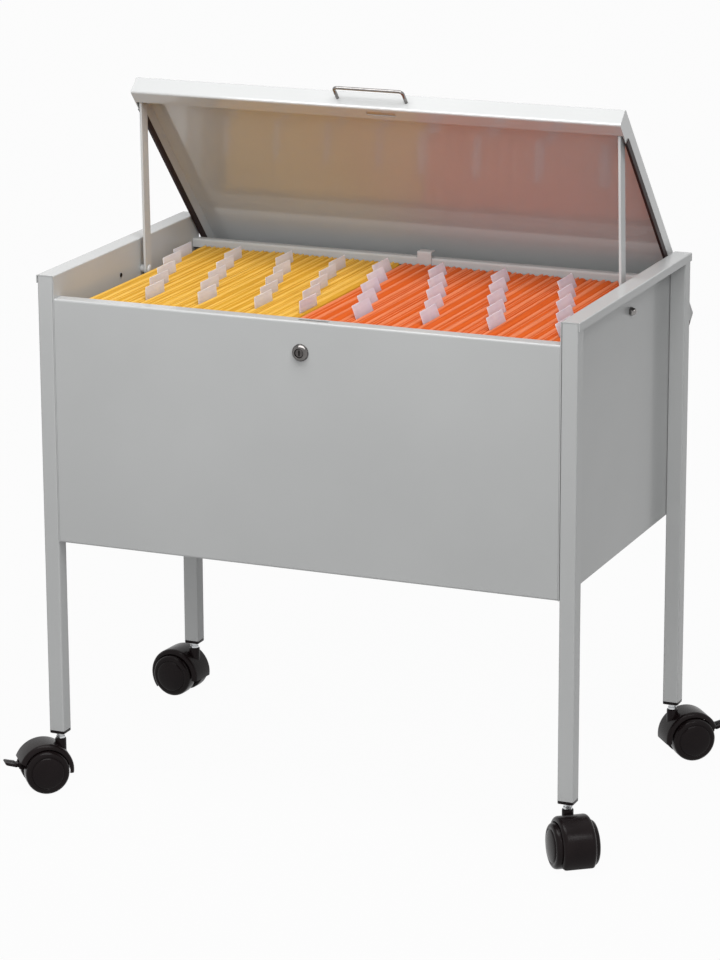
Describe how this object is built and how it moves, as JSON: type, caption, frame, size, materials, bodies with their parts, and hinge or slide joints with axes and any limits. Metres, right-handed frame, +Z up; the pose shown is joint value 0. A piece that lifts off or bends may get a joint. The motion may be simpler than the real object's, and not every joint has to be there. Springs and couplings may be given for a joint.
{
  "type": "mobile file cart",
  "caption": "Mobile steel file cart on twin-wheel casters, with a link-carried lid that slides back over the rear edge, a hook-cam lock and rows of hanging folders.",
  "frame": {"origin": "bottom centre of the cart's bounding box, on the floor", "axes": "+X to the right seen from the front, +Y to the back, +Z up; the locked front panel faces -Y"},
  "size_m": [0.7964, 0.5492, 0.8753],
  "materials": {
    "grey_paint": "satin light grey powder coat",
    "black_plastic": "satin moulded black",
    "wheel_tread": "hard black wheel, slightly glossy",
    "chrome": "polished",
    "steel": "bright zinc",
    "glide_strip": "dark brown-black extruded edge strip",
    "yellow_card": "matt card",
    "orange_card": "matt card"
  },
  "bodies": {
    "cabinet": {"leg_fl": "grey_paint", "leg_plug_fl": "black_plastic", "stem_fl": "steel", "leg_fr": "grey_paint", "leg_plug_fr": "black_plastic", "stem_fr": "steel", "leg_bl": "grey_paint", "leg_plug_bl": "black_plastic", "stem_bl": "steel", "leg_br": "grey_paint", "leg_plug_br": "black_plastic", "stem_br": "steel", "side_panel_left": "grey_paint", "link_pad_left": "black_plastic", "side_panel_right": "grey_paint", "link_pad_right": "black_plastic", "front_panel": "grey_paint", "back_panel": "grey_paint", "floor_tray": "grey_paint", "hanging_rail_front": "steel", "hanging_rail_back": "steel", "keeper_clip": "grey_paint", "pivot_bolt_left": "steel", "cap_nut_left": "chrome", "pivot_bolt_right": "steel", "cap_nut_right": "chrome", "lock_barrel": "chrome", "lock_nut": "steel"},
    "lid_links": {"lid_link_left": "grey_paint", "lid_link_right": "grey_paint"},
    "lid": {"lid_tray": "grey_paint", "glide_strip_left": "glide_strip", "glide_strip_right": "glide_strip", "link_stud_left": "steel", "link_stud_right": "steel", "lid_handle": "chrome"},
    "lock_core": {"lock_plug": "chrome", "lock_cam": "steel"},
    "yellow_files": {"yellow_folders": "yellow_card"},
    "orange_files": {"orange_folders": "orange_card"},
    "caster_fl": {"hood_fl": "black_plastic"},
    "wheels_fl": {"axle_fl": "steel", "wheel_fl_a": "wheel_tread", "wheel_fl_b": "wheel_tread"},
    "brake_fl": {"brake_lever_fl": "black_plastic"},
    "caster_fr": {"hood_fr": "black_plastic"},
    "wheels_fr": {"axle_fr": "steel", "wheel_fr_a": "wheel_tread", "wheel_fr_b": "wheel_tread"},
    "caster_bl": {"hood_bl": "black_plastic"},
    "wheels_bl": {"axle_bl": "steel", "wheel_bl_a": "wheel_tread", "wheel_bl_b": "wheel_tread"},
    "caster_br": {"hood_br": "black_plastic"},
    "wheels_br": {"axle_br": "steel", "wheel_br_a": "wheel_tread", "wheel_br_b": "wheel_tread"},
    "brake_br": {"brake_lever_br": "black_plastic"}
  },
  "joints": [
    {"name": "lid_link_swing", "type": "hinge", "parent": "cabinet", "child": "lid_links", "pos_m": [0, 0.01289, 0.6169], "axis": [1, 0, 0], "range_deg": [0, 82.58]},
    {"name": "lid_turn", "type": "hinge", "parent": "lid_links", "child": "lid", "pos_m": [0, 0.00521, 0.83393], "axis": [1, 0, 0], "range_deg": [-34.78, 0]},
    {"name": "lock_turn", "type": "hinge", "parent": "cabinet", "child": "lock_core", "pos_m": [0, -0.22911, 0.591], "axis": [0, -1, 0], "range_deg": [0, 90]},
    {"name": "yellow_files_slide", "type": "slide", "parent": "cabinet", "child": "yellow_files", "axis": [1, 0, 0], "range_m": [-0.005, 0]},
    {"name": "orange_files_slide", "type": "slide", "parent": "cabinet", "child": "orange_files", "axis": [1, 0, 0], "range_m": [0, 0.005]},
    {"name": "caster_fl_swivel", "type": "hinge", "parent": "cabinet", "child": "caster_fl", "pos_m": [-0.336, -0.21911, 0.06], "axis": [0, 0, 1], "continuous": true},
    {"name": "wheels_fl_roll", "type": "hinge", "parent": "caster_fl", "child": "wheels_fl", "pos_m": [-0.3531, -0.23296, 0.02776], "axis": [0.6293, -0.7771, 0], "continuous": true},
    {"name": "brake_fl_press", "type": "hinge", "parent": "caster_fl", "child": "brake_fl", "pos_m": [-0.37582, -0.25136, 0.03476], "axis": [0.6293, -0.7771, 0], "range_deg": [0, 12]},
    {"name": "caster_fr_swivel", "type": "hinge", "parent": "cabinet", "child": "caster_fr", "pos_m": [0.336, -0.21911, 0.06], "axis": [0, 0, 1], "continuous": true},
    {"name": "wheels_fr_roll", "type": "hinge", "parent": "caster_fr", "child": "wheels_fr", "pos_m": [0.34924, -0.23668, 0.02776], "axis": [0.7986, 0.6018, 0], "continuous": true},
    {"name": "caster_bl_swivel", "type": "hinge", "parent": "cabinet", "child": "caster_bl", "pos_m": [-0.336, 0.17289, 0.06], "axis": [0, 0, 1], "continuous": true},
    {"name": "wheels_bl_roll", "type": "hinge", "parent": "caster_bl", "child": "wheels_bl", "pos_m": [-0.35788, 0.17519, 0.02776], "axis": [-0.1045, -0.9945, 0], "continuous": true},
    {"name": "caster_br_swivel", "type": "hinge", "parent": "cabinet", "child": "caster_br", "pos_m": [0.336, 0.17289, 0.06], "axis": [0, 0, 1], "continuous": true},
    {"name": "wheels_br_roll", "type": "hinge", "parent": "caster_br", "child": "wheels_br", "pos_m": [0.3531, 0.18673, 0.02776], "axis": [-0.6293, 0.7771, 0], "continuous": true},
    {"name": "brake_br_press", "type": "hinge", "parent": "caster_br", "child": "brake_br", "pos_m": [0.37582, 0.20514, 0.03476], "axis": [-0.6293, 0.7771, 0], "range_deg": [0, 12]}
  ],
  "couplings": [
    {"joint": "lid_turn", "follows": "lid_link_swing", "ratio": -0.41878}
  ]
}
